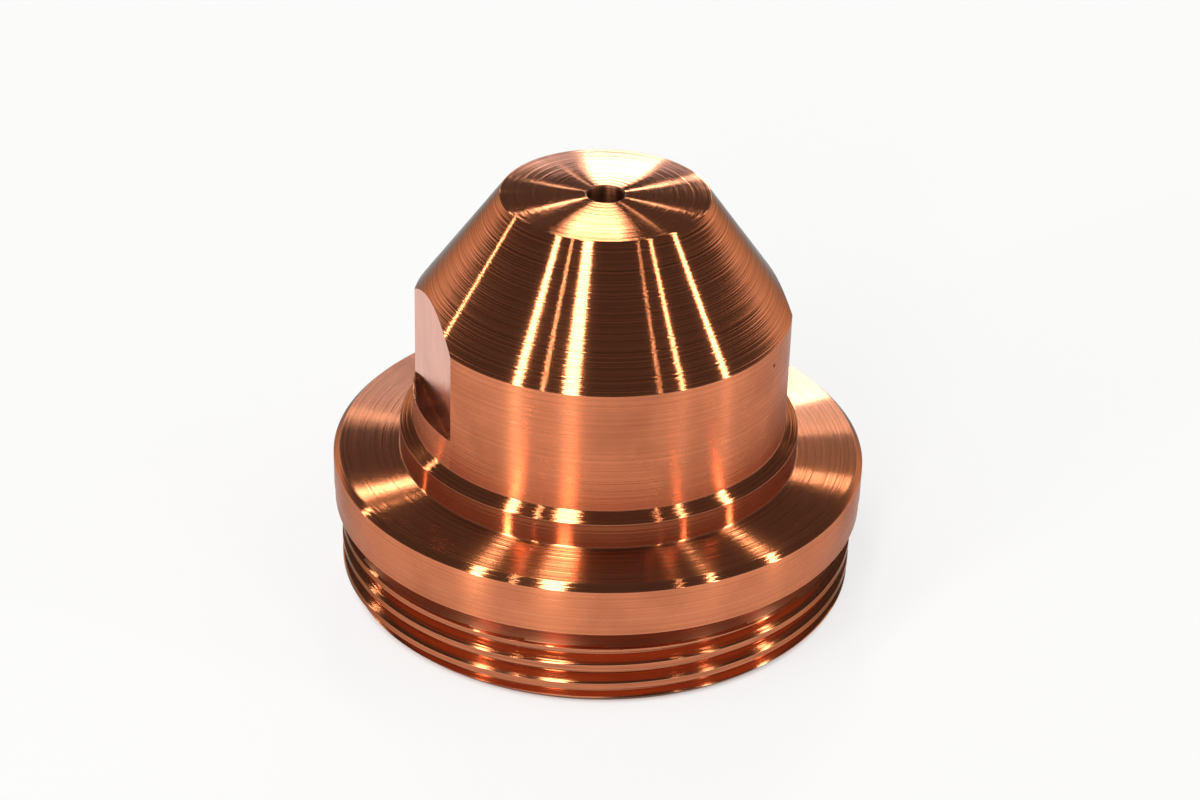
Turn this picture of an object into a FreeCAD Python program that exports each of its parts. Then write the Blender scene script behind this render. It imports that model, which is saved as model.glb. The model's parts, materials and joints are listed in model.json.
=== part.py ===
"""Threaded copper nozzle: one turned piece with a drilled orifice, two wrench flats and a helical thread.

Millimetres. The axis is Z, the threaded rear end stands on Z = 0 and the orifice opens at the top.
The wrench flats face -X and +X.
"""
import FreeCAD, Part
import os

import Sketcher

SIZES = {
    # Tip and orifice
    "orifice_dia": 2.18,
    "orifice_edge_break": 0.08,
    "tip_dia": 12.14,
    "cone_height": 7.0,
    # Neck and wrench flats
    "neck_dia": 22.22,
    "neck_height": 9.4,
    "across_flats": 20.5,
    "flat_ledge_height": 3.86,
    # Collar between neck and flange
    "collar_dia": 23.8,
    "collar_height": 1.56,
    "collar_bevel_height": 0.4,
    # Flange, whose lowest band is turned a little smaller
    "flange_dia": 31.75,
    "flange_thickness": 3.25,
    "flange_chamfer": 0.36,
    "land_height": 1.05,
    "land_step": 0.05,
    # External thread, 20 turns to the inch
    "thread_dia": 30.9,
    "thread_pitch": 1.27,
    "thread_crest": 0.38,
    "thread_depth": 0.6,
    "thread_flank_angle": 30.0,
    "thread_length": 3.92,
    "thread_end_chamfer": 0.65,
    "thread_approach": 0.965,
    "runout_clearance": 0.17,
    "relief_depth": 0.85,
    # Ring of the flange's underside that seats, and how far the face slopes back inside it
    "seat_ring_clearance": 0.05,
    "face_relief_depth": 0.1,
    # Seat for the parts behind the nozzle, bore and plenum
    "seat_dia": 24.0,
    "seat_depth": 4.2,
    "seat_chamfer": 0.5,
    "bore_dia": 15.0,
    "plenum_half_angle": 45.0,
    "throat_length": 4.2,
    # How far a cutting outline reaches past the face it leaves
    "overcut": 0.5,
}

# Radii and levels that follow from the sizes above
WORKED_OUT = {
    "orifice_r": "=orifice_dia / 2",
    "tip_r": "=tip_dia / 2",
    "neck_r": "=neck_dia / 2",
    "collar_r": "=collar_dia / 2",
    "flange_r": "=flange_dia / 2",
    "flange_rim_r": "=flange_r - flange_chamfer",
    "land_r": "=flange_r - land_step",
    "thread_r": "=thread_dia / 2",
    "thread_end_r": "=thread_r - thread_end_chamfer",
    "root_r": "=thread_r - thread_depth",
    "relief_r": "=thread_r - relief_depth",
    "seat_r": "=seat_dia / 2",
    "bore_r": "=bore_dia / 2",
    "flank_slope": "=tan(thread_flank_angle * 1deg)",
    "groove_mouth": "=thread_pitch - thread_crest",
    "relief_width": "=groove_mouth + 2 * runout_clearance",
    "flange_base": "=thread_length + relief_width",
    "land_top": "=flange_base + land_height",
    "flange_top": "=flange_base + flange_thickness",
    "flange_edge": "=flange_top - flange_chamfer",
    "collar_top": "=flange_top + collar_height",
    "neck_base": "=collar_top + collar_bevel_height",
    "ledge_level": "=flange_top + flat_ledge_height",
    "cone_base": "=flange_top + neck_height",
    "tip_level": "=cone_base + cone_height",
    # Inside
    "throat_base": "=tip_level - throat_length",
    "throat_end": "=tip_level - orifice_edge_break",
    "plenum_base": "=throat_base - (bore_r - orifice_r) / tan(plenum_half_angle * 1deg)",
    "below_end": "=-overcut",
    "above_tip": "=tip_level + overcut",
    "seat_mouth_r": "=seat_r + seat_chamfer + overcut",
    "orifice_mouth_r": "=orifice_r + orifice_edge_break + overcut",
    # Relief between thread and flange, its lower wall sloped like a thread flank
    "relief_mouth_r": "=thread_r + overcut",
    "relief_wall_low": "=thread_length - overcut * flank_slope",
    "relief_wall_high": "=thread_length + relief_depth * flank_slope",
    "seat_ring_r": "=thread_r + seat_ring_clearance",
    "face_relief_top": "=flange_base + face_relief_depth",
    # Thread groove: where the cut starts and ends, and the corners of its outline at the start
    "groove_start": "=-groove_mouth / 2 - thread_approach",
    "groove_end": "=thread_length + relief_width / 2",
    "groove_outer_r": "=thread_r + overcut",
    "groove_half_root": "=groove_mouth / 2 - thread_depth * flank_slope",
    "groove_root_low": "=groove_start - groove_half_root",
    "groove_root_high": "=groove_start + groove_half_root",
    "groove_mouth_low": "=groove_start - groove_mouth / 2",
    "groove_mouth_high": "=groove_start + groove_mouth / 2",
    # Wrench flat cut from one side
    "flat_inner": "=-across_flats / 2",
    "flat_outer": "=-neck_r - overcut",
    "flat_far_side": "=neck_r",
    "flat_near_side": "=-neck_r",
}

doc = FreeCAD.newDocument("threaded_nozzle")
sheet = doc.addObject("Spreadsheet::Sheet", "sizes")
for row, (alias, content) in enumerate({**SIZES, **WORKED_OUT}.items(), start=1):
    sheet.set("A{}".format(row), alias.replace("_", " "))
    sheet.set("B{}".format(row), str(content))
    sheet.setAlias("B{}".format(row), alias)
doc.recompute()


def new_sketch(body, name, role):
    """A sketch on the body's own origin plane with this role, such as XZ_Plane."""
    plane = [feature for feature in body.Origin.OriginFeatures if feature.Role == role][0]
    sketch = body.newObject("Sketcher::SketchObject", name)
    sketch.AttachmentSupport = [(plane, "")]
    sketch.MapMode = "FlatFace"
    return sketch


def size(alias):
    """A size from the sheet. The words axis and end stand for zero across and zero up."""
    return 0.0 if alias in ("axis", "end") else sheet.get(alias)


def bind_corner(sketch, corner, kind, alias):
    """Hold one corner of an outline on a sketch axis, or at its distance from the sketch's origin."""
    if alias == "axis":
        sketch.addConstraint(Sketcher.Constraint("PointOnObject", corner, 1, -2))
        return
    if alias == "end":
        sketch.addConstraint(Sketcher.Constraint("PointOnObject", corner, 1, -1))
        return
    constraint = sketch.addConstraint(Sketcher.Constraint(kind, -1, 1, corner, 1, size(alias)))
    sketch.renameConstraint(constraint, "{}_{}".format(alias, corner))
    sketch.setExpression("Constraints.{}_{}".format(alias, corner), "sizes." + alias)


def draw_outline(sketch, corners):
    """Draw a closed outline. Each corner is a pair of aliases: distance across and distance up."""
    places = [FreeCAD.Vector(size(across), size(up), 0) for across, up in corners]
    count = len(corners)
    for corner in range(count):
        sketch.addGeometry(Part.LineSegment(places[corner], places[(corner + 1) % count]), False)
    for corner in range(count):
        after = (corner + 1) % count
        sketch.addConstraint(Sketcher.Constraint("Coincident", corner, 2, after, 1))
        if after == 0:
            continue
        if corners[corner][1] == corners[after][1]:
            sketch.addConstraint(Sketcher.Constraint("Horizontal", corner))
        if corners[corner][0] == corners[after][0]:
            sketch.addConstraint(Sketcher.Constraint("Vertical", corner))
    for corner, (across, up) in enumerate(corners):
        if corner == 0 or corners[corner - 1][0] != across:
            bind_corner(sketch, corner, "DistanceX", across)
        if corner == 0 or corners[corner - 1][1] != up:
            bind_corner(sketch, corner, "DistanceY", up)


def turn(body, kind, name, sketch):
    """A full turn of the outline about the sketch's upright axis, as a Revolution or a Groove."""
    feature = body.newObject("PartDesign::" + kind, name)
    feature.Profile = (sketch, [""])
    feature.ReferenceAxis = (sketch, ["V_Axis"])
    feature.Angle = 360
    sketch.Visibility = False
    return feature


nozzle = doc.addObject("PartDesign::Body", "nozzle_body")
nozzle.Label = "nozzle"

# Outside: threaded end, flange, collar, neck and cone, as one bar turned to its outline
outside = new_sketch(nozzle, "outside_outline", "XZ_Plane")
draw_outline(outside, [
    ("axis", "end"),
    ("thread_end_r", "end"),
    ("thread_r", "thread_end_chamfer"),
    ("thread_r", "flange_base"),
    ("land_r", "flange_base"),
    ("land_r", "land_top"),
    ("flange_r", "land_top"),
    ("flange_r", "flange_edge"),
    ("flange_rim_r", "flange_top"),
    ("collar_r", "flange_top"),
    ("collar_r", "collar_top"),
    ("neck_r", "neck_base"),
    ("neck_r", "cone_base"),
    ("tip_r", "tip_level"),
    ("axis", "tip_level"),
])
blank = turn(nozzle, "Revolution", "outside", outside)
doc.recompute()

# Inside: rear seat, bore, conical plenum and orifice
inside = new_sketch(nozzle, "inside_outline", "XZ_Plane")
draw_outline(inside, [
    ("axis", "below_end"),
    ("seat_mouth_r", "below_end"),
    ("seat_r", "seat_chamfer"),
    ("seat_r", "seat_depth"),
    ("bore_r", "seat_depth"),
    ("bore_r", "plenum_base"),
    ("orifice_r", "throat_base"),
    ("orifice_r", "throat_end"),
    ("orifice_mouth_r", "above_tip"),
    ("axis", "above_tip"),
])
bored = turn(nozzle, "Groove", "inside", inside)
doc.recompute()

# Relief where the thread runs out below the flange. Inside the ring that seats, the flange's face
# slopes back from it
relief = new_sketch(nozzle, "relief_outline", "XZ_Plane")
draw_outline(relief, [
    ("relief_mouth_r", "relief_wall_low"),
    ("relief_mouth_r", "flange_base"),
    ("seat_ring_r", "flange_base"),
    ("relief_r", "face_relief_top"),
    ("relief_r", "relief_wall_high"),
])
relieved = turn(nozzle, "Groove", "relief", relief)
doc.recompute()

# Wrench flats: one side milled down to its ledge, and the same on the opposite side
flat_outline = new_sketch(nozzle, "flat_outline", "XY_Plane")
flat_outline.setExpression("AttachmentOffset.Base.z", "sizes.ledge_level")
draw_outline(flat_outline, [
    ("flat_inner", "flat_near_side"),
    ("flat_inner", "flat_far_side"),
    ("flat_outer", "flat_far_side"),
    ("flat_outer", "flat_near_side"),
])
flat = nozzle.newObject("PartDesign::Pocket", "wrench_flat")
flat.Profile = (flat_outline, [""])
flat.Type = "Length"
flat.Reversed = True
flat.setExpression("Length", "sizes.above_tip - sizes.ledge_level")
flat_outline.Visibility = False
doc.recompute()

second_flat = nozzle.newObject("PartDesign::Mirrored", "second_wrench_flat")
second_flat.Originals = [flat]
yz_plane = [feature for feature in nozzle.Origin.OriginFeatures if feature.Role == "YZ_Plane"][0]
second_flat.MirrorPlane = (yz_plane, [""])
nozzle.Tip = second_flat
doc.recompute()

# Thread: a flat-rooted groove cut upward from below the end face and out into the relief
groove_outline = new_sketch(nozzle, "thread_outline", "XZ_Plane")
draw_outline(groove_outline, [
    ("groove_outer_r", "groove_mouth_low"),
    ("groove_outer_r", "groove_mouth_high"),
    ("thread_r", "groove_mouth_high"),
    ("root_r", "groove_root_high"),
    ("root_r", "groove_root_low"),
    ("thread_r", "groove_mouth_low"),
])
thread = nozzle.newObject("PartDesign::SubtractiveHelix", "thread")
thread.Profile = (groove_outline, [""])
thread.ReferenceAxis = (groove_outline, ["V_Axis"])
thread.Mode = "pitch-height-angle"
thread.setExpression("Pitch", "sizes.thread_pitch")
thread.setExpression("Height", "sizes.groove_end - sizes.groove_start")
groove_outline.Visibility = False
nozzle.Tip = thread
doc.recompute()

# Every object has to be sound, and every cut has to take material away, before the solid is written
for item in doc.Objects:
    if "Invalid" in item.State or "Error" in item.State:
        raise RuntimeError("{} failed: {}".format(item.Name, item.State))
if nozzle.Shape.isNull() or not nozzle.Shape.isValid():
    raise RuntimeError("the nozzle has no valid shape")
stages = [blank, bored, relieved, flat, second_flat, thread]
for before, after in zip(stages, stages[1:]):
    print(after.Label, "removes", round(before.Shape.Volume - after.Shape.Volume, 2))
    if after.Shape.Volume >= before.Shape.Volume:
        raise RuntimeError(after.Label + " cut nothing")

os.makedirs("parts", exist_ok=True)
nozzle.Shape.exportStep(os.path.join("parts", nozzle.Label + ".step"))
print(nozzle.Label, "volume", round(nozzle.Shape.Volume, 1), "solids", len(nozzle.Shape.Solids))
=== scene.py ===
"""Looks of the threaded copper nozzle: its finished surface, studio floor, lamps and camera.

The finished surface repeats the solid's sizes in millimetres and adds the small rounds that turning
leaves on every edge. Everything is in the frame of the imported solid: +Z up, rear end face on Z = 0.
"""
import json
import math

import bpy
import bmesh
import numpy as np
from mathutils import Matrix, Quaternion, Vector


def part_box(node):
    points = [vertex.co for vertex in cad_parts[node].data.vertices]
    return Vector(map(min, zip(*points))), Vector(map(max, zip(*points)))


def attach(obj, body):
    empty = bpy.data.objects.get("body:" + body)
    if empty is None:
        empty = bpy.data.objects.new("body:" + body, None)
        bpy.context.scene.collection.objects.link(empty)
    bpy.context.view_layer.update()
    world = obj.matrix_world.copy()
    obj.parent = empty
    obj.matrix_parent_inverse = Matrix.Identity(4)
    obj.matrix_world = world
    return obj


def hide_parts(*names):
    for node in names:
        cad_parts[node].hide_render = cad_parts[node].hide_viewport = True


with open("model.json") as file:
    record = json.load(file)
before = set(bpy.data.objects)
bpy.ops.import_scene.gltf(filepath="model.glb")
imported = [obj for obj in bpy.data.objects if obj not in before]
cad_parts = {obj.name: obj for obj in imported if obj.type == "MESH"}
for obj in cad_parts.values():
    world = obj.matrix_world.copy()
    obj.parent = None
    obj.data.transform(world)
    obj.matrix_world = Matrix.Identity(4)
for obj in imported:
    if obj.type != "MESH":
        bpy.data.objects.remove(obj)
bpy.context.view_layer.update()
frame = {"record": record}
bpy.context.scene.view_settings.view_transform = "Standard"

MM = 0.001

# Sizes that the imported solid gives
MOUNTS = {mount["name"]: mount for mount in frame["record"]["mounts"]}
FLANGE_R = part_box("nozzle")[1].x / MM
TIP_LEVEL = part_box("nozzle")[1].z / MM
ORIFICE_R = MOUNTS["orifice"]["dims"]["r_mm"]
BORE_R = MOUNTS["inner_bore"]["dims"]["r_mm"]
SEAT_R = MOUNTS["rear_seat"]["dims"]["r_mm"]
FLANGE_BASE = MOUNTS["flange_underside"]["pos_m"][2] / MM
FLAT_X = MOUNTS["wrench_flat_right"]["pos_m"][0] / MM

# Radii and levels of the outline, in millimetres
FLANGE_TOP = 8.4
LEDGE_LEVEL = 12.26
END_R = 14.8
END_HOLE_R = 12.5
CREST_R = 15.45
ROOT_R = 14.85
RELIEF_R = 14.6
CHAMFER_TOP = 0.65
RELIEF_EDGE = 3.92
SEAT_RING_R = 15.5
FACE_RELIEF_TOP = 5.25
LAND_R = 15.825
LAND_TOP = 6.2
RIM_R = 15.515
FLANGE_EDGE = 8.04
COLLAR_R = 11.9
COLLAR_TOP = 9.96
NECK_R = 11.11
NECK_BASE = 10.36
CONE_BASE = 17.8
TIP_R = 6.07
MOUTH_R = 1.17
THROAT_TOP = 24.72
THROAT_BASE = 20.6
PLENUM_BASE = 14.19
SEAT_DEPTH = 4.2
SEAT_CHAMFER = 0.5

# Thread
PITCH = 1.27
FLANK = math.tan(math.radians(30))
HALF_ROOT = 0.0986
GROOVE_START = -1.41
GROOVE_END = 4.535
THREAD_LOW = 0.03
THREAD_HIGH = 4.39
# Distances of the mesh rows from the middle of a groove; the crest's edges lie between two rows
HALF_PITCH_ROWS = [0.08, 0.12, 0.2, 0.28, 0.36, 0.43, 0.46, 0.52, 0.58]

# Columns of the mesh round the axis, and faces in the arc of each rounded edge
COLUMNS = 480
ARC_STEPS = 3


def thread_envelope(z):
    """Radius of the threaded end before its groove is cut."""
    chamfer = END_R + z
    relief_wall = CREST_R - (z - RELIEF_EDGE) / FLANK
    return np.minimum(np.minimum(chamfer, CREST_R), relief_wall)


def groove_centres(angle):
    """Levels of the groove's middle at this angle round the axis, one for each turn."""
    turns = math.ceil((GROOVE_END - GROOVE_START) / PITCH) + 1
    levels = [GROOVE_START + PITCH * (angle / (2 * math.pi) + turn) for turn in range(turns)]
    return [level for level in levels if level <= GROOVE_END]


def thread_radius(angle, z):
    """Radius of the finished thread at an angle and a row of levels."""
    radius = thread_envelope(z)
    for centre in groove_centres(angle):
        away = np.maximum(np.abs(z - centre) - HALF_ROOT, 0)
        radius = np.minimum(radius, ROOT_R + away / FLANK)
    return radius


def thread_rows():
    """Row levels at angle zero, from below the end face to above the relief."""
    offsets = [-x for x in reversed(HALF_PITCH_ROWS)] + [0] + HALF_PITCH_ROWS + [PITCH / 2]
    turns = math.ceil((THREAD_HIGH - GROOVE_START) / PITCH) + 1
    return [GROOVE_START + PITCH * turn + offset for turn in range(turns) for offset in offsets]


def level_edges(angle):
    """Levels of the envelope's edges that the groove leaves standing at this angle."""
    centres = groove_centres(angle)
    half_groove = HALF_ROOT + (CREST_R - ROOT_R) * FLANK
    edges = [
        level for level in (CHAMFER_TOP, RELIEF_EDGE)
        if all(abs(level - centre) > half_groove for centre in centres)
    ]
    last = centres[-1]
    # Where the groove's upper flank meets the wall of the relief
    ridge_r = (RELIEF_EDGE + (CREST_R + ROOT_R) * FLANK - last - HALF_ROOT) / (2 * FLANK)
    if ROOT_R < ridge_r < CREST_R:
        edges.append(RELIEF_EDGE + (CREST_R - ridge_r) * FLANK)
    return edges


def rounded(corners):
    """Points of an outline whose corners are (radius, level, rounding), with an arc at each rounding."""
    points = [Vector(corners[0][:2])]
    for before, corner, after in zip(corners, corners[1:], corners[2:]):
        here = Vector(corner[:2])
        back = (Vector(before[:2]) - here).normalized()
        ahead = (Vector(after[:2]) - here).normalized()
        half = back.angle(ahead) / 2
        reach = corner[2] / math.tan(half)
        centre = here + (back + ahead).normalized() * corner[2] / math.sin(half)
        start = here + back * reach - centre
        turn = start.angle_signed(here + ahead * reach - centre)
        for step in range(ARC_STEPS + 1):
            swing = Matrix.Rotation(-turn * step / ARC_STEPS, 2)
            points.append(centre + swing @ start)
    points.append(Vector(corners[-1][:2]))
    return points


# Outline from the relief up the outside, over the tip and back down the inside to the end chamfer
OUTLINE = [
    (thread_envelope(THREAD_HIGH), THREAD_HIGH, 0),
    (RELIEF_R, RELIEF_EDGE + (CREST_R - RELIEF_R) * FLANK, 0.05),
    (RELIEF_R, FACE_RELIEF_TOP, 0.15),
    (SEAT_RING_R, FLANGE_BASE, 0.02),
    (LAND_R, FLANGE_BASE, 0.06),
    (LAND_R, LAND_TOP, 0.02),
    (FLANGE_R, LAND_TOP, 0.02),
    (FLANGE_R, FLANGE_EDGE, 0.06),
    (RIM_R, FLANGE_TOP, 0.05),
    (COLLAR_R, FLANGE_TOP, 0.08),
    (COLLAR_R, COLLAR_TOP, 0.04),
    (NECK_R, NECK_BASE, 0.06),
    (NECK_R, CONE_BASE, 0.05),
    (TIP_R, TIP_LEVEL, 0.06),
    (MOUTH_R, TIP_LEVEL, 0.02),
    (ORIFICE_R, THROAT_TOP, 0.03),
    (ORIFICE_R, THROAT_BASE, 0.1),
    (BORE_R, PLENUM_BASE, 0.3),
    (BORE_R, SEAT_DEPTH, 0.06),
    (SEAT_R, SEAT_DEPTH, 0.2),
    (SEAT_R, SEAT_CHAMFER, 0.06),
    (END_HOLE_R, 0, 0.06),
    (END_R, 0, 0.05),
    (thread_envelope(THREAD_LOW), THREAD_LOW, 0),
]


def nozzle_mesh():
    """The whole surface as one closed grid: the thread's rows follow the helix, the others are level."""
    mesh = bmesh.new()
    angles = [2 * math.pi * column / COLUMNS for column in range(COLUMNS)]
    rows = np.array(thread_rows())
    per_turn = 2 * len(HALF_PITCH_ROWS) + 2

    def vertex(angle, radius, level):
        return mesh.verts.new((radius * math.cos(angle) * MM, radius * math.sin(angle) * MM, level * MM))

    thread = []
    for angle in angles:
        levels = rows + PITCH * angle / (2 * math.pi)
        for edge in level_edges(angle):
            levels[np.argmin(np.abs(levels - edge))] = edge
        levels = np.clip(levels, THREAD_LOW, THREAD_HIGH)
        radii = thread_radius(angle, levels)
        column, last = [], None
        for radius, level in zip(radii, levels):
            if last is None or level > last[1]:
                last = (vertex(angle, radius, level), level)
            column.append(last[0])
        thread.append(column)
    # The outline's two ends belong to the thread's rows
    rings = [[vertex(angle, radius, level) for angle in angles] for radius, level in rounded(OUTLINE)[1:-1]]

    def add_face(*corners):
        """A face between these corners, unless rows that meet leave fewer than three of them."""
        kept = [v for place, v in enumerate(corners) if v is not corners[place - 1]]
        if len(kept) > 2:
            mesh.faces.new(kept)

    top = len(rows) - 1
    for column in range(COLUMNS):
        after = (column + 1) % COLUMNS
        # After a full turn the rows have risen by one pitch
        shift = per_turn if after == 0 else 0
        for row in range(top):
            low, high = min(row + shift, top), min(row + 1 + shift, top)
            add_face(thread[column][row], thread[after][low], thread[after][high], thread[column][row + 1])
        add_face(thread[column][top], thread[after][top], rings[0][after], rings[0][column])
        add_face(rings[-1][column], rings[-1][after], thread[after][0], thread[column][0])
        for lower, upper in zip(rings, rings[1:]):
            add_face(lower[column], lower[after], upper[after], upper[column])
    return mesh


def new_object(name, mesh):
    """A scene object from a bmesh."""
    data = bpy.data.meshes.new(name)
    mesh.to_mesh(data)
    mesh.free()
    made = bpy.data.objects.new(name, data)
    bpy.context.scene.collection.objects.link(made)
    return made


def box_object(name, low, high):
    """A closed box between two corners, in millimetres."""
    mesh = bmesh.new()
    bmesh.ops.create_cube(mesh, size=1)
    low, high = Vector(low) * MM, Vector(high) * MM
    for v in mesh.verts:
        v.co = [(low[axis] + high[axis]) / 2 + v.co[axis] * (high[axis] - low[axis]) for axis in range(3)]
    return new_object(name, mesh)


# How far a cutter reaches past the nozzle, in millimetres
CUTTER_MARGIN = 1

nozzle = new_object("nozzle_finish", nozzle_mesh())
for side in (-1, 1):
    outer = NECK_R + CUTTER_MARGIN
    cutter = box_object(
        "flat_cutter",
        (min(side * FLAT_X, side * outer), -outer, LEDGE_LEVEL),
        (max(side * FLAT_X, side * outer), outer, TIP_LEVEL + CUTTER_MARGIN),
    )
    cut = nozzle.modifiers.new("wrench_flat", "BOOLEAN")
    cut.operation = "DIFFERENCE"
    cut.solver = "EXACT"
    cut.object = cutter
    evaluated = nozzle.evaluated_get(bpy.context.evaluated_depsgraph_get())
    finished = bpy.data.meshes.new_from_object(evaluated)
    nozzle.modifiers.clear()
    nozzle.data = finished
    bpy.data.objects.remove(cutter)

# The zones of the surface, in the order of the nozzle's materials
TURNED, TIP, FLANGE, COLLAR, SIDE, THREAD, RELIEF, MILLED, LEDGE, BORE = range(10)

# Distance within which a face lies on a plane, in millimetres
ON_PLANE = 0.001
# Least part of a face's normal along a direction that it faces exactly, or about
EXACTLY = 0.99
ABOUT = 0.95
# Sharpest angle between faces that are shaded as one, in degrees
SMOOTH_ANGLE = 20


def zone(centre, normal):
    """The finish that a face gets, from its place and the way it faces."""
    radius = math.hypot(centre.x, centre.y)
    outward = (normal.x * centre.x + normal.y * centre.y) / radius
    if centre.z > LEDGE_LEVEL and abs(abs(centre.x) - FLAT_X) < ON_PLANE and abs(normal.x) > EXACTLY:
        return MILLED
    if abs(centre.z - LEDGE_LEVEL) < ON_PLANE and normal.z > EXACTLY:
        return LEDGE
    # The walls of the inside face the axis, and the step at the end of the rear seat faces down
    if outward < -0.3 or abs(centre.z - SEAT_DEPTH) < 0.2 and normal.z < -0.7:
        return BORE
    if ON_PLANE < centre.z < FLANGE_BASE and radius > END_R - 0.5:
        return THREAD if centre.z < RELIEF_EDGE + 0.1 else RELIEF
    if outward > ABOUT:
        return COLLAR if FLANGE_TOP < centre.z < COLLAR_TOP else SIDE
    if normal.z > ABOUT:
        return TIP if centre.z > COLLAR_TOP else FLANGE
    return TURNED


for face in nozzle.data.polygons:
    face.material_index = zone(face.center / MM, face.normal)
nozzle.data.shade_smooth()
nozzle.data.set_sharp_from_angle(angle=math.radians(SMOOTH_ANGLE))
weighted = nozzle.modifiers.new("weighted_normals", "WEIGHTED_NORMAL")
weighted.mode = "FACE_AREA"
weighted.keep_sharp = True
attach(nozzle, "root")
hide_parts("nozzle")


def new_material(name):
    """An empty node material with its Principled shader."""
    material = bpy.data.materials.new(name)
    material.use_nodes = True
    tree = material.node_tree
    return material, tree, tree.nodes["Principled BSDF"]


def node(tree, kind, sockets, **settings):
    """A shader node; its sockets, by name or number, take a plain value or another node's output."""
    made = tree.nodes.new("ShaderNode" + kind)
    for name, value in settings.items():
        setattr(made, name, value)
    for place, value in sockets.items():
        if isinstance(value, bpy.types.NodeSocket):
            tree.links.new(value, made.inputs[place])
        else:
            made.inputs[place].default_value = value
    return made


def calc(tree, operation, first, second=0.0, third=0.0):
    """Output of a Math node that keeps its result as it is."""
    return node(tree, "Math", {0: first, 1: second, 2: third}, operation=operation).outputs[0]


def ramp(tree, value, low, high, to_low=0.0, to_high=1.0):
    """A value mapped from one range to another, held at the ends."""
    sockets = {"Value": value, "From Min": low, "From Max": high, "To Min": to_low, "To Max": to_high}
    return node(tree, "MapRange", sockets, clamp=True).outputs[0]


def blend(tree, factor, first, second):
    """Colour between two others."""
    return node(tree, "Mix", {0: factor, 6: first, 7: second}, data_type="RGBA").outputs[2]


def noise(tree, sockets, **settings):
    """Output of a noise texture, about 0 to 1."""
    return node(tree, "TexNoise", sockets, **settings).outputs[0]


def shade(colour, factor):
    """A colour made darker or lighter."""
    return tuple(part * factor for part in colour[:3]) + (1,)


# Colours of the metal, of the painted shade in the undercut and in the bore, of its stains and worn edges,
# and of the speck on the neck
COPPER = (0.76, 0.245, 0.115, 1)
# Painted shade: a darker, duller copper for the undercut below the flange
UNDERCUT_SHADE_COPPER = (0.46, 0.21, 0.13, 1)
# Painted shade: a dark copper for the bore and the orifice
BORE_SHADE_COPPER = (0.2, 0.07, 0.04, 1)
TARNISH = (0.3, 0.09, 0.05, 1)
WORN_EDGE = (0.98, 0.5, 0.3, 1)
SPECK = (0.01, 0.006, 0.005, 1)
# Tints of what the metal reflects at a grazing angle: all of it, less of it and least of it
WHITE = (1, 1, 1, 1)
SOFT = (0.6, 0.6, 0.6, 1)
DEEP = (0.3, 0.37, 0.38, 1)
# Place of the speck: its angle round the axis, and its level and radius in millimetres
SPECK_TURN = math.radians(-44.7)
SPECK_LEVEL = 16.7
SPECK_R = 0.14
# Numbers of marks in a metre
COARSE_MARKS = 5500.0
BAND_MARKS = 900.0
WANDER_MARKS = 9000.0
PATCH_MARKS = 260.0
GRAIN_MARKS = 16000.0
# Share of a mark's slope that runs sideways, and slope of the metal's grain
WANDER = 0.085
GRAIN = 0.02
# Depth of the marks of handling and width of a worn edge, in millimetres
HANDLING_DEPTH = 0.004
EDGE_WIDTH = 0.12


def tool_marks(tree, straight):
    """The place on the object, and the way across its tool marks.

    Turned marks are circles, so the way across them is the level less the radius. Milled marks are
    straight and upright on the wrench flats.
    """
    place = node(tree, "TexCoord", {}).outputs["Object"]
    parts = node(tree, "SeparateXYZ", {0: place}).outputs
    if straight:
        return place, parts["Y"]
    flat = node(tree, "CombineXYZ", {"X": parts["X"], "Y": parts["Y"]}).outputs[0]
    radius = node(tree, "VectorMath", {0: flat}, operation="LENGTH").outputs["Value"]
    return place, calc(tree, "SUBTRACT", parts["Z"], radius)


def edge_wear(tree, width):
    """How near a face is to an edge: 0 on open faces, 1 on the edge."""
    rounded_normal = node(tree, "Bevel", {"Radius": width}, samples=4).outputs[0]
    true_normal = node(tree, "NewGeometry", {}).outputs["Normal"]
    alike = node(tree, "VectorMath", {0: rounded_normal, 1: true_normal}, operation="DOT_PRODUCT")
    return ramp(tree, alike.outputs["Value"], 0.995, 0.93)


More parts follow.
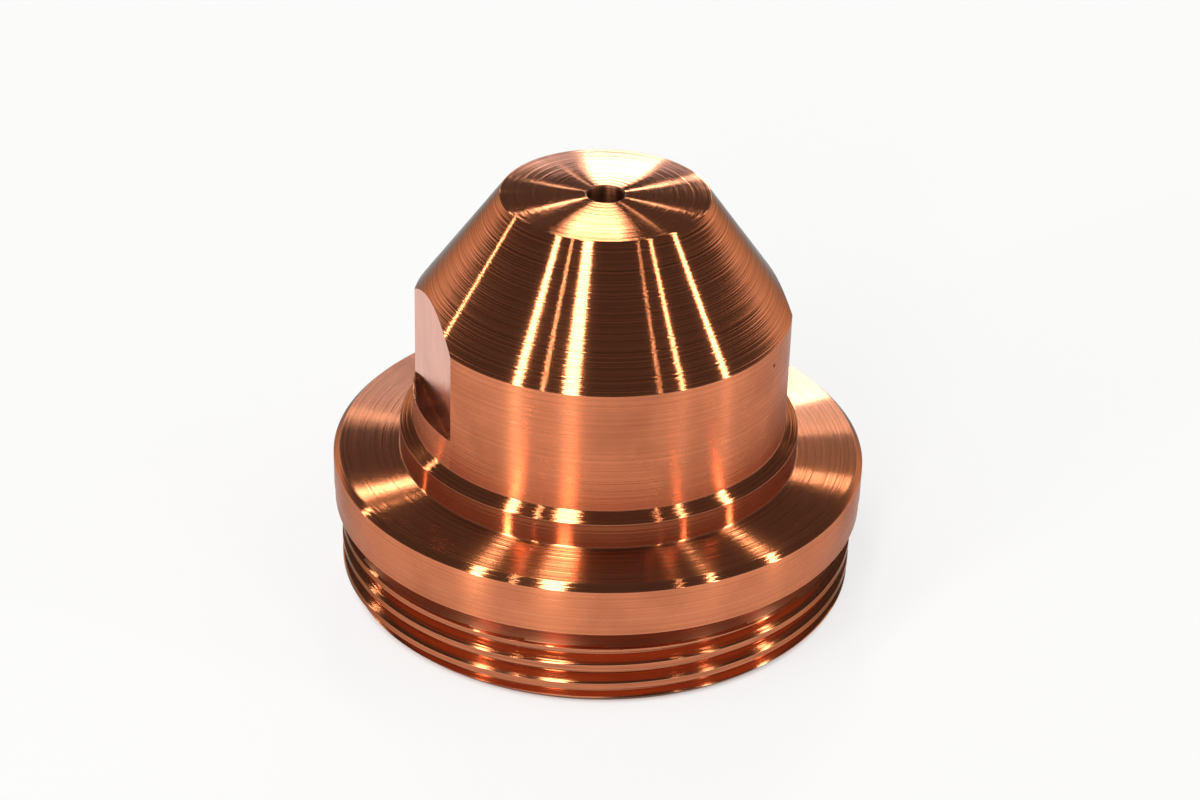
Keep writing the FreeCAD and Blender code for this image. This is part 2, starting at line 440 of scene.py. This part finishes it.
def copper(
    name, colour, roughness, anisotropy, rings, feed, stain,
    edge_tint=WHITE, fineness=9000.0, loose=1.0, lean=0.0, contrast=0.2, straight=False,
):
    """Bare copper with the marks of its tool.

    Rings is the slope of the fine marks, feed the slope of the coarser ones that the tool's feed leaves,
    and stain how strongly handling and heat have dulled the surface. Edge_tint is the tint at a grazing
    angle, fineness the number of fine marks in a metre, loose how far the marks leave their line, lean
    the mean slope of the marks' flanks, and contrast how much darker the marks are than the rest.
    Straight is for milled marks, which aren't circles.
    """
    material, tree, shader = new_material(name)
    shader.inputs["Metallic"].default_value = 1
    shader.inputs["Anisotropic"].default_value = anisotropy
    shader.inputs["Anisotropic Rotation"].default_value = 0.25
    shader.inputs["Specular Tint"].default_value = edge_tint
    tangent = node(tree, "Tangent", {}, direction_type="RADIAL", axis="Z").outputs[0]
    tree.links.new(tangent, shader.inputs["Tangent"])
    place, along = tool_marks(tree, straight)

    fine = noise(tree, {"W": along, "Scale": fineness, "Detail": 2.0}, noise_dimensions="1D")
    coarse = noise(tree, {"W": along, "Scale": COARSE_MARKS, "Detail": 2.0}, noise_dimensions="1D")
    bands = noise(tree, {"W": along, "Scale": BAND_MARKS, "Detail": 2.0}, noise_dimensions="1D")
    wander = noise(tree, {"W": along, "Scale": WANDER_MARKS, "Detail": 1.0}, noise_dimensions="1D")
    patches = noise(tree, {"Vector": place, "Scale": PATCH_MARKS, "Detail": 3.0, "Roughness": 0.55})
    grain = node(tree, "TexNoise", {"Vector": place, "Scale": GRAIN_MARKS, "Detail": 1.0}).outputs["Color"]

    # The marks tilt the surface across their own line, so that streaks of light stay straight over them
    facing = node(tree, "NewGeometry", {}).outputs["Normal"]
    outline_way = node(tree, "VectorMath", {0: tangent, 1: facing}, operation="CROSS_PRODUCT").outputs[0]
    slope = calc(tree, "MULTIPLY_ADD", calc(tree, "SUBTRACT", fine, 0.5), rings, lean)
    slope = calc(tree, "MULTIPLY_ADD", calc(tree, "SUBTRACT", coarse, 0.5), feed, slope)
    sideways = calc(tree, "MULTIPLY", calc(tree, "SUBTRACT", wander, 0.5), rings * WANDER * loose)
    across, beside = (tangent, outline_way) if straight else (outline_way, tangent)
    grain = node(tree, "VectorMath", {0: grain, 1: (-0.5, -0.5, -0.5)}, operation="ADD").outputs[0]
    marked = facing
    for way, size in ((across, slope), (beside, sideways), (grain, GRAIN * loose)):
        mark = node(tree, "VectorMath", {0: way, "Scale": size}, operation="SCALE").outputs[0]
        marked = node(tree, "VectorMath", {0: marked, 1: mark}, operation="ADD").outputs[0]
    marked = node(tree, "VectorMath", {0: marked}, operation="NORMALIZE").outputs[0]
    depth = HANDLING_DEPTH * loose * MM
    bump = node(tree, "Bump", {"Distance": depth, "Height": patches, "Normal": marked})
    tree.links.new(bump.outputs[0], shader.inputs["Normal"])

    lines = ramp(tree, calc(tree, "ADD", fine, coarse), 0.7, 1.3)
    colour_now = blend(tree, lines, shade(colour, 1 - contrast), shade(colour, 1 + contrast / 2))
    colour_now = blend(tree, ramp(tree, bands, 0.35, 0.65, 0.0, 0.12), colour_now, shade(colour, 0.62))
    dull = ramp(tree, patches, 0.4, 0.75)
    colour_now = blend(tree, calc(tree, "MULTIPLY", dull, stain), colour_now, TARNISH)
    worn = edge_wear(tree, EDGE_WIDTH * MM)
    colour_now = blend(tree, calc(tree, "MULTIPLY", worn, 0.35), colour_now, WORN_EDGE)
    speck_place = (
        NECK_R * MM * math.cos(SPECK_TURN), NECK_R * MM * math.sin(SPECK_TURN), SPECK_LEVEL * MM,
    )
    apart = node(tree, "VectorMath", {0: place, 1: speck_place}, operation="DISTANCE").outputs["Value"]
    speck = ramp(tree, apart, SPECK_R * 0.7 * MM, SPECK_R * MM, 1.0, 0.0)
    colour_now = blend(tree, speck, colour_now, SPECK)
    tree.links.new(colour_now, shader.inputs["Base Color"])

    rough_now = calc(tree, "MULTIPLY_ADD", dull, 0.2 * stain, roughness)
    rough_now = calc(tree, "MULTIPLY_ADD", calc(tree, "SUBTRACT", bands, 0.5), 0.05, rough_now)
    tree.links.new(rough_now, shader.inputs["Roughness"])
    return material


# Name, colour, roughness, anisotropy, rings, feed and stain of each zone, in the order of the zones
for finish in (
    copper("turned_copper", COPPER, 0.12, 1.0, 0.5, 0.12, 0.2, DEEP, fineness=14000.0, contrast=0.35),
    copper("tip_copper", COPPER, 0.1, 1.0, 0.4, 0.0, 0.2, fineness=10000.0, loose=0.04, lean=0.13),
    copper("flange_copper", COPPER, 0.17, 1.0, 0.5, 0.0, 0.2, fineness=8000.0, loose=0.2, lean=0.38),
    # The collar wall gets copper at about half brightness: painted shade of the dark flange top that it
    # reflects
    copper("collar_copper_painted_shade", shade(COPPER, 0.52), 0.16, 1.0, 0.3, 0.1, 0.2, SOFT),
    # The upright walls get a slightly darker copper: painted shade
    copper(
        "side_copper_painted_shade", shade(COPPER, 0.92), 0.25, 0.95, 0.6, 0.05, 0.35, SOFT,
        fineness=13000.0, loose=0.4, contrast=0.15,
    ),
    # The thread gets a darker copper: painted shade, as the floor its crests reflect lies in the nozzle's
    # shadow
    copper("thread_copper_painted_shade", shade(COPPER, 0.72), 0.13, 0.95, 0.5, 0.05, 0.3, DEEP),
    # The undercut below the flange gets the darker, duller copper: painted shade
    copper("relief_copper_painted_shade", UNDERCUT_SHADE_COPPER, 0.3, 0.9, 0.4, 0.05, 0.3, DEEP),
    copper(
        "milled_copper", COPPER, 0.13, 0.0, 0.08, 0.03, 0.3,
        fineness=8000.0, contrast=0.05, straight=True,
    ),
    # The ledge below each flat gets a very dark copper: painted shade, which the flat mirrors as a dark
    # crescent at its foot
    copper(
        "ledge_copper_painted_shade", shade(COPPER, 0.3), 0.13, 0.0, 0.08, 0.03, 0.3,
        fineness=8000.0, contrast=0.05, straight=True,
    ),
    # The bore gets a dark copper: painted shade inside the hollow
    copper("bore_copper_painted_shade", BORE_SHADE_COPPER, 0.45, 0.8, 0.4, 0.2, 0.5),
):
    nozzle.data.materials.append(finish)

# Floor that sweeps up into a low backdrop all round: radius and height of each ring, in metres
SWEEP = [(2.0, 0), (2.15, 0.02), (2.24, 0.09), (2.29, 0.2), (2.31, 0.42)]
SWEEP_SIDES = 96
# How far the floor lies below the rear end face, in millimetres, so that the two don't touch
FLOOR_GAP = 0.02
# A trace of blue in the floor evens out the warm light of the lamps
FLOOR_COLOUR = (0.82, 0.84, 1, 1)
# Share of plain white in the floor near the nozzle and far from it, as the camera and the metal see it
WHITE_NEAR = 0.72
WHITE_FAR = 1.0
# Radii between which that share rises from nothing inside the hollow end, in millimetres
HOLLOW_EDGE = (14.6, 15.2)
# Distances between which it rises from near to far, in metres
FAR_RANGE = (0.03, 0.3)
WORLD_LIGHT = 0.09


def floor_mesh():
    """A round floor with its rim turned up."""
    mesh = bmesh.new()
    turns = [2 * math.pi * step / SWEEP_SIDES for step in range(SWEEP_SIDES)]
    rings = [
        [mesh.verts.new((radius * math.cos(turn), radius * math.sin(turn), height)) for turn in turns]
        for radius, height in SWEEP
    ]
    mesh.faces.new(rings[0])
    for inner, outer in zip(rings, rings[1:]):
        for step in range(SWEEP_SIDES):
            mesh.faces.new((inner[step - 1], outer[step - 1], outer[step], inner[step]))
    return mesh


def floor_paint():
    """Matt paint that the camera and the metal see mostly as plain white, with the nozzle's shadow in it."""
    material, tree, shader = new_material("floor_paint")
    shader.inputs["Base Color"].default_value = FLOOR_COLOUR
    shader.inputs["Roughness"].default_value = 0.7
    rays = node(tree, "LightPath", {}).outputs
    seen = calc(tree, "MAXIMUM", rays["Is Camera Ray"], rays["Is Glossy Ray"])
    seen = calc(tree, "MAXIMUM", seen, rays["Is Transmission Ray"])
    white = node(tree, "Emission", {"Color": WHITE, "Strength": 1.0}).outputs[0]
    place = node(tree, "TexCoord", {}).outputs["Object"]
    reach = node(tree, "VectorMath", {0: place}, operation="LENGTH").outputs["Value"]
    near = ramp(tree, reach, HOLLOW_EDGE[0] * MM, HOLLOW_EDGE[1] * MM, 0.0, WHITE_NEAR)
    far = ramp(tree, reach, FAR_RANGE[0], FAR_RANGE[1], 0.0, WHITE_FAR - WHITE_NEAR)
    share = calc(tree, "MULTIPLY", seen, calc(tree, "ADD", near, far))
    both = node(tree, "MixShader", {0: share, 1: shader.outputs[0], 2: white})
    tree.links.new(both.outputs[0], tree.nodes["Material Output"].inputs["Surface"])
    return material


floor = new_object("floor", floor_mesh())
floor.data.shade_smooth()
floor.location.z = -FLOOR_GAP * MM
floor.data.materials.append(floor_paint())

world = bpy.data.worlds.new("studio")
bpy.context.scene.world = world
world.use_nodes = True
world.node_tree.nodes["Background"].inputs["Color"].default_value = WHITE
world.node_tree.nodes["Background"].inputs["Strength"].default_value = WORLD_LIGHT

# Camera, fitted to the photograph in a frame of its own, where it stands at azimuth -90 degrees. VIEW_TURN
# turns that frame into the solid's. Angles are in radians, the distance and the clip range in metres, and
# the lens and the sensor in millimetres.
VIEW_TURN = math.radians(-17.74)
CAMERA_ELEVATION = 0.539810593
CAMERA_DISTANCE = 0.1656667
AIM_YAW = -0.000142
AIM_PITCH = 0.014476
AIM_ROLL = -0.029531
LENS = 82.6
SENSOR_WIDTH = 36
CLIP_RANGE = (0.005, 10)


def toward(bearing, elevation):
    """Unit direction from its bearing in the camera's frame (-90 is the camera's own side) and elevation."""
    turn = math.radians(bearing) + VIEW_TURN
    rise = math.radians(elevation)
    return Vector((math.cos(turn) * math.cos(rise), math.sin(turn) * math.cos(rise), math.sin(rise)))


camera = bpy.data.objects.new("camera", bpy.data.cameras.new("camera"))
bpy.context.scene.collection.objects.link(camera)
bpy.context.scene.camera = camera
camera.data.lens = LENS
camera.data.sensor_width = SENSOR_WIDTH
camera.data.clip_start, camera.data.clip_end = CLIP_RANGE
away = toward(-90, math.degrees(CAMERA_ELEVATION))
forward = -away
right = toward(0, 0)
upward = right.cross(forward)
for angle, axis_name in ((AIM_YAW, "up"), (AIM_PITCH, "right"), (AIM_ROLL, "forward")):
    axis = {"up": upward, "right": right, "forward": forward}[axis_name]
    turn = Quaternion(axis, angle)
    forward, right, upward = turn @ forward, turn @ right, turn @ upward
stand = away * CAMERA_DISTANCE + Vector((0, 0, FLANGE_TOP * MM))
camera.matrix_world = Matrix.Translation(stand) @ Matrix((right, upward, -forward)).transposed().to_4x4()

# Lamps: distance in metres, colour, and the most degrees of tilt that one panel lights
LAMP_DISTANCE = 0.6
LAMP_COLOUR = (1, 0.97, 0.78)
PANEL_TILT = 6
CONE_MIDDLE = 21.0


def lit_from(level, bearing, tilt):
    """Direction of a light that the camera sees in a surface at this level, tilted towards a bearing."""
    view = (camera.matrix_world.translation - Vector((0, 0, level * MM))).normalized()
    facing = toward(bearing, 90 - tilt)
    return (2 * facing.dot(view) * facing - view).normalized()


def strip(name, level, bearing, tilts, widths, glow):
    """A long narrow softbox that draws one straight streak across turned surfaces.

    Its short panels follow the curve on which every light has its streak at the same bearing, from the
    first tilt of the surface to the last. Tilts are in degrees, widths are those of its two ends in
    metres, and glow is its brightness.
    """
    panels = math.ceil((tilts[1] - tilts[0]) / PANEL_TILT)
    for panel in range(panels):
        low, high = panel / panels, (panel + 1) / panels
        first, last = [
            lit_from(level, bearing, tilts[0] + (tilts[1] - tilts[0]) * part) * LAMP_DISTANCE
            for part in (low, high)
        ]
        width = widths[0] + (widths[1] - widths[0]) * (low + high) / 2
        length = (last - first).length
        lamp = bpy.data.objects.new(f"{name}_{panel}", bpy.data.lights.new(name, "AREA"))
        bpy.context.scene.collection.objects.link(lamp)
        lamp.visible_camera = False
        lamp.data.shape = "RECTANGLE"
        lamp.data.size = width
        lamp.data.size_y = length
        lamp.data.energy = glow * math.pi * width * length
        lamp.data.color = LAMP_COLOUR
        along = (last - first).normalized()
        back = ((first + last) / 2).normalized()
        back = (back - along * back.dot(along)).normalized()
        side = along.cross(back)
        middle = (first + last) / 2 + Vector((0, 0, level * MM))
        lamp.matrix_world = Matrix.Translation(middle) @ Matrix((side, along, back)).transposed().to_4x4()


# Name, level, bearing, tilts, widths and glow of each lamp
for lamp in (
    # The streaks of the cone, from left to right
    ("lamp_far_left", CONE_MIDDLE, -147, (32, 72), (0.007, 0.014), 12),
    ("lamp_left", CONE_MIDDLE, -115, (30, 73), (0.033, 0.043), 10),
    ("lamp_left_thin", CONE_MIDDLE, -107, (32, 72), (0.003, 0.003), 20),
    ("lamp_main", CONE_MIDDLE, -98.5, (30, 73), (0.07, 0.08), 10),
    ("lamp_right_thin", CONE_MIDDLE, -72, (32, 72), (0.003, 0.003), 9),
    ("lamp_right", CONE_MIDDLE, -65, (32, 73), (0.012, 0.012), 12),
    ("lamp_far_right", CONE_MIDDLE, -50, (30, 73), (0.025, 0.03), 11),
    # Their glow on the upright walls
    ("lamp_low_left", CONE_MIDDLE, -115, (66, 74), (0.03, 0.03), 55),
    ("lamp_low_main", CONE_MIDDLE, -98.5, (66, 74), (0.05, 0.05), 15),
    ("lamp_low_right", CONE_MIDDLE, -65, (66, 74), (0.015, 0.015), 18),
    ("lamp_low_far_right", CONE_MIDDLE, -50, (66, 74), (0.03, 0.03), 14),
    # The wedges and lines of the tip
    ("lamp_wedge_front", TIP_LEVEL, -96.6, (6, 12), (0.056, 0.125), 10),
    ("lamp_wedge_back", TIP_LEVEL, 75.2, (4.5, 10), (0.048, 0.085), 8),
    ("lamp_line_a", TIP_LEVEL, 167, (4, 10), (0.002, 0.003), 10),
    ("lamp_line_b", TIP_LEVEL, -153.5, (4, 10), (0.003, 0.004), 30),
    ("lamp_line_c", TIP_LEVEL, 18, (4, 10), (0.003, 0.005), 20),
    ("lamp_line_d", TIP_LEVEL, -20, (4, 10), (0.004, 0.005), 9),
    ("lamp_line_e", TIP_LEVEL, -50, (4, 10), (0.003, 0.004), 3.5),
    ("lamp_line_f", TIP_LEVEL, 135.5, (4, 10), (0.003, 0.005), 2),
    # The bands on top of the flange
    ("lamp_band_a", FLANGE_TOP, 175, (19, 25), (0.02, 0.03), 3),
    ("lamp_band_b", FLANGE_TOP, -156, (19, 25), (0.02, 0.026), 22),
    ("lamp_band_c", FLANGE_TOP, 23.4, (19, 25), (0.07, 0.09), 12),
    ("lamp_band_d", FLANGE_TOP, -14.5, (19, 25), (0.035, 0.045), 7),
    ("lamp_band_e", FLANGE_TOP, 10, (19, 25), (0.09, 0.1), 2.5),
    ("lamp_room_left", FLANGE_TOP, 163, (19, 25), (0.2, 0.25), 0.8),
    ("lamp_room_right", FLANGE_TOP, -2, (19, 25), (0.12, 0.15), 0.7),
):
    strip(*lamp)
